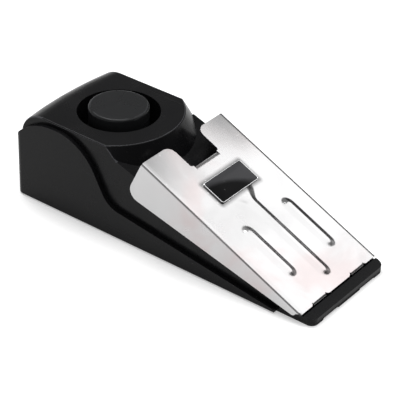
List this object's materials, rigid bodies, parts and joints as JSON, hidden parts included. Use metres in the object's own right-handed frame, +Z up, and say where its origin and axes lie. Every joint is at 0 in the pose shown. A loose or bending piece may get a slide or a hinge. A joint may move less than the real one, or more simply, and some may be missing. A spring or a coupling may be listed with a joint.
{
  "type": "door stop alarm",
  "caption": "Wedge-shaped door stop alarm with a sprung steel pressure plate, a round siren in a recess, and a rubber grip pad.",
  "frame": {"origin": "under the middle of the part, on the surface that it stands on", "axes": "+X along the wedge to its thin tip, +Y to the left side seen from the rear, +Z up"},
  "size_m": [0.145, 0.0516, 0.0416],
  "materials": {
    "case_plastic": "injection moulded black ABS, satin gloss",
    "cap_plastic": "moulded black ABS, fine satin texture",
    "inner_plastic": "moulded black plastic",
    "brass": "bare rolled brass",
    "ceramic": "silvered ceramic, matte",
    "plate_steel": "polished stainless sheet with a faint cloudy grain",
    "badge_chrome": "bright chrome",
    "badge_gloss": "high gloss black, domed, plain",
    "spring_steel": "drawn spring wire",
    "battery_jacket": "plain printed steel jacket",
    "terminal_metal": "nickel plated",
    "board_laminate": "green solder mask on glass laminate",
    "button_plastic": "moulded red plastic",
    "switch_metal": "tinned steel shell",
    "knob_plastic": "moulded light grey plastic",
    "sensor_sleeve": "black sleeve",
    "ferrite": "dark matte",
    "copper": "enamelled copper wire",
    "capacitor_sleeve": "shrunk plastic sleeve",
    "resistor_body": "lacquered ceramic",
    "lead_red": "PVC insulation",
    "lead_black": "PVC insulation",
    "screw_steel": "zinc plated",
    "grip_rubber": "soft black rubber"
  },
  "bodies": {
    "case": {"upper_housing": "case_plastic", "lower_housing": "case_plastic", "siren_cap": "cap_plastic", "siren_resonator": "inner_plastic", "piezo_plate": "brass", "piezo_ceramic": "ceramic", "plate_spring": "spring_steel", "battery": "battery_jacket", "battery_terminals": "terminal_metal", "battery_snap": "inner_plastic", "circuit_board": "board_laminate", "trigger_switch_body": "inner_plastic", "power_switch_body": "switch_metal", "sensitivity_switch_body": "switch_metal", "vibration_sensor": "sensor_sleeve", "boost_coil_core": "ferrite", "boost_coil_winding": "copper", "capacitor": "capacitor_sleeve", "transistor": "inner_plastic", "control_chip": "ferrite", "resistors": "resistor_body", "battery_lead_red": "lead_red", "battery_lead_black": "lead_black", "piezo_lead_red": "lead_red", "piezo_lead_black": "lead_black", "case_screws": "screw_steel", "board_screws": "screw_steel", "grip_pad": "grip_rubber", "rear_feet": "grip_rubber"},
    "plate": {"pressure_plate": "plate_steel", "badge_bezel": "badge_chrome", "badge_insert": "badge_gloss"},
    "lever": {"trigger_lever": "terminal_metal"},
    "button": {"trigger_button": "button_plastic"},
    "power": {"power_knob": "knob_plastic"},
    "sensitivity": {"sensitivity_knob": "knob_plastic"},
    "door": {"battery_door": "case_plastic"}
  },
  "joints": [
    {"name": "plate_press", "type": "hinge", "parent": "case", "child": "plate", "pos_m": [0.0662, 0, 0.0036], "axis": [0, -1, 0], "range_deg": [0, 5.7], "stiffness_Nm_per_rad": 0.6, "springref_deg": -6.88, "deforming": ["plate_spring"]},
    {"name": "lever_turn", "type": "hinge", "parent": "case", "child": "lever", "pos_m": [0.0167, 0, 0.0158], "axis": [0, -1, 0], "range_deg": [0, 26.05]},
    {"name": "button_press", "type": "slide", "parent": "case", "child": "button", "axis": [0, 0, -1], "range_m": [0, 0.000502]},
    {"name": "power_slide", "type": "slide", "parent": "case", "child": "power", "axis": [1, 0, 0], "range_m": [0, 0.003]},
    {"name": "sensitivity_slide", "type": "slide", "parent": "case", "child": "sensitivity", "axis": [1, 0, 0], "range_m": [0, 0.003]},
    {"name": "door_slide", "type": "slide", "parent": "case", "child": "door", "axis": [-1, 0, 0], "range_m": [0, 0.012]}
  ],
  "couplings": [
    {"joint": "lever_turn", "follows": "plate_press", "ratio": 4.5614},
    {"joint": "button_press", "follows": "plate_press", "m_per_rad": 0.0050259}
  ]
}
